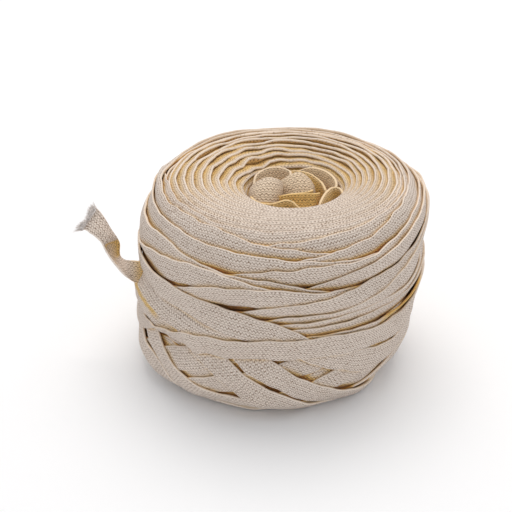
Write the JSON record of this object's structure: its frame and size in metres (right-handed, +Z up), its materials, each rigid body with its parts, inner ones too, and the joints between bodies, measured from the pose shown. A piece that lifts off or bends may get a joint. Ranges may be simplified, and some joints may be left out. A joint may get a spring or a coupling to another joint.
{
  "type": "roll of twill tape",
  "caption": "Drum-shaped roll of flat undyed cotton twill tape, wound in overlapping and crossing turns, with crumpled folds in its hollow top and a frayed loose end.",
  "frame": {"origin": "middle of the flat spot on which the roll rests, at the surface", "axes": "+Z up along the winding axis; -Y is the front of the picture; the loose end is at -X"},
  "size_m": [0.159, 0.1362, 0.0943],
  "materials": {
    "cotton": "matte woven cotton, natural cream"
  },
  "bodies": {
    "root": {"roll_body": "cotton", "loose_end": "cotton"}
  },
  "joints": []
}
